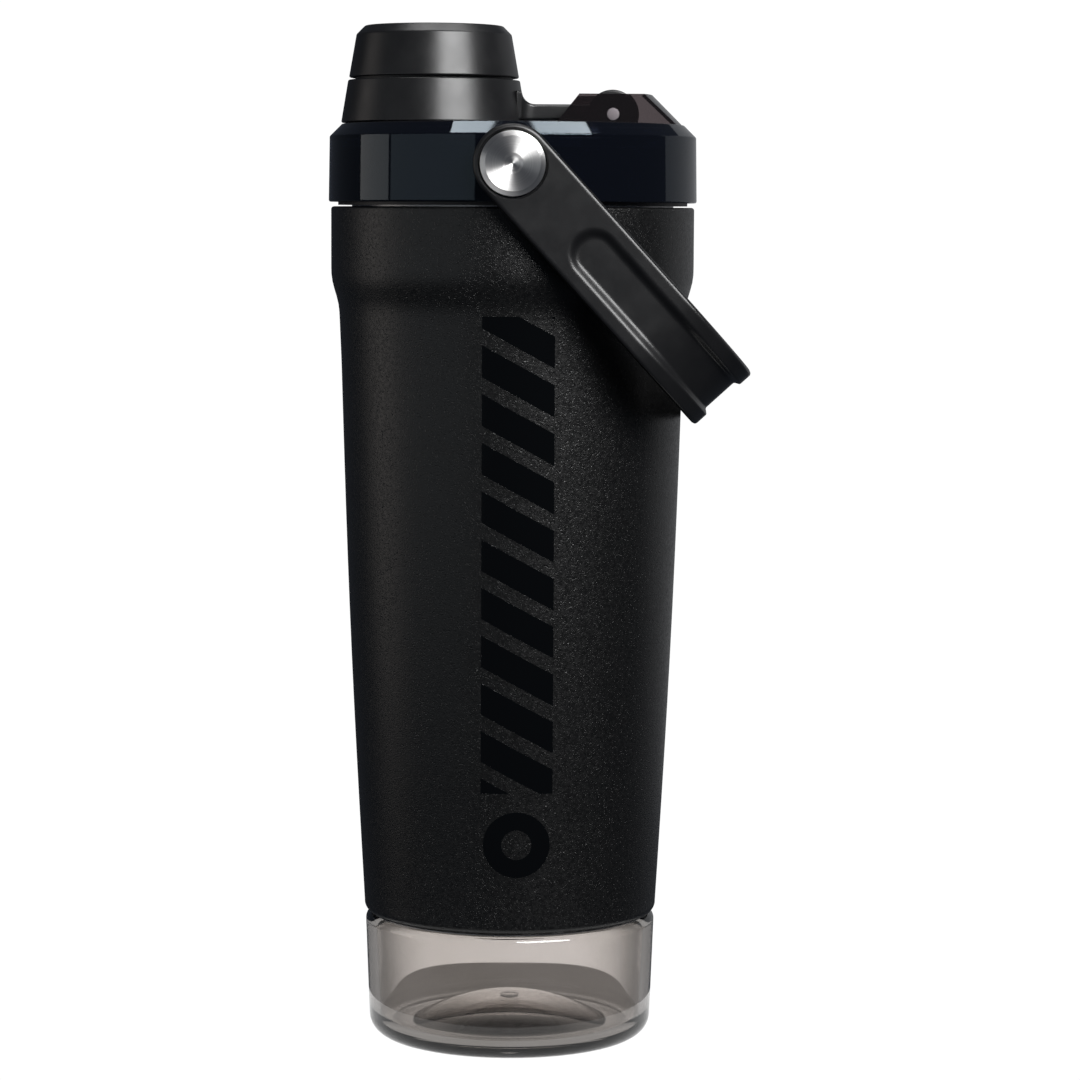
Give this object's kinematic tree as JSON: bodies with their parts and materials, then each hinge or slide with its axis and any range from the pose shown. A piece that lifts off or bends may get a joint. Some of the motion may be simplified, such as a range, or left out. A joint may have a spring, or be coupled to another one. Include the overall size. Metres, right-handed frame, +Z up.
{
  "type": "protein shaker bottle",
  "caption": "Double-wall shaker bottle with a twist cap on a hinged ring, a swinging bail handle, a mixing grid under the lid and a clear screw-on storage cup under the base.",
  "frame": {"origin": "centre of the storage cup's foot, on the surface that the bottle stands on", "axes": "+Z up along the bottle's axis; +X from the spout towards the hinge; Y along the handle's pivots"},
  "size_m": [0.1028, 0.1018, 0.2498],
  "materials": {
    "powder_coat": "black powder coat with a fine grain",
    "liner_steel": "satin stainless steel",
    "getter": "dull sintered metal",
    "black_plastic": "moulded black, satin",
    "satin_plastic": "moulded black, soft satin",
    "smoked_plastic": "clear smoked blue-black, polished",
    "clear_smoke": "clear warm grey, polished",
    "grid_plastic": "moulded dark grey",
    "silicone": "dark grey silicone",
    "bush_nylon": "dark nylon",
    "turned_steel": "face-turned stainless steel",
    "pin_steel": "ground steel",
    "insert_brass": "plain brass"
  },
  "bodies": {
    "bottle": {"outer_shell": "powder_coat", "inner_liner": "liner_steel", "shell_base": "liner_steel", "vacuum_getter": "getter", "base_ring": "black_plastic"},
    "lid_seal": {"lid_gasket": "silicone"},
    "lid": {"lid_cover": "smoked_plastic", "lid_core": "black_plastic", "hinge_pin": "pin_steel", "insert_front": "insert_brass", "insert_back": "insert_brass", "handle_screw_front": "turned_steel", "handle_screw_back": "turned_steel"},
    "mixer": {"mixer_grid": "grid_plastic"},
    "ring": {"cap_ring": "satin_plastic"},
    "cap_seal": {"cap_seal": "silicone"},
    "cap": {"cap_shell": "satin_plastic", "cap_core": "black_plastic"},
    "handle": {"handle": "satin_plastic", "bush_front": "bush_nylon", "bush_back": "bush_nylon"},
    "cup_seal": {"cup_gasket": "silicone"},
    "storage_cup": {"storage_cup": "clear_smoke"}
  },
  "joints": [
    {"name": "lid_lift", "type": "slide", "parent": "bottle", "child": "lid_seal", "axis": [0, 0, 1], "range_m": [0, 0.012]},
    {"name": "lid_turn", "type": "hinge", "parent": "lid_seal", "child": "lid", "pos_m": [0, 0, 0.212], "axis": [0, 0, 1], "range_deg": [0, 540]},
    {"name": "mixer_pull", "type": "slide", "parent": "lid", "child": "mixer", "axis": [0, 0, -1], "range_m": [0, 0.008]},
    {"name": "cap_flip", "type": "hinge", "parent": "lid", "child": "ring", "pos_m": [0.0242, 0, 0.2282], "axis": [0, 1, 0], "range_deg": [0, 105]},
    {"name": "cap_rise", "type": "slide", "parent": "ring", "child": "cap_seal", "axis": [0, 0, 1], "range_m": [0, 0.002]},
    {"name": "cap_turn", "type": "hinge", "parent": "cap_seal", "child": "cap", "pos_m": [-0.0194, 0, 0.24], "axis": [0, 0, 1], "range_deg": [0, 180]},
    {"name": "handle_swing", "type": "hinge", "parent": "lid", "child": "handle", "pos_m": [0, 0, 0.2157], "axis": [0, -1, 0], "range_deg": [0, 275.4]},
    {"name": "cup_drop", "type": "slide", "parent": "bottle", "child": "cup_seal", "axis": [0, 0, -1], "range_m": [0, 0.012]},
    {"name": "cup_turn", "type": "hinge", "parent": "cup_seal", "child": "storage_cup", "pos_m": [0, 0, 0.035], "axis": [0, 0, -1], "range_deg": [0, 720]}
  ],
  "couplings": [
    {"joint": "lid_turn", "follows": "lid_lift", "rad_per_m": 785.4},
    {"joint": "cap_turn", "follows": "cap_rise", "rad_per_m": 1570.8},
    {"joint": "cup_turn", "follows": "cup_drop", "rad_per_m": 1047.2}
  ]
}
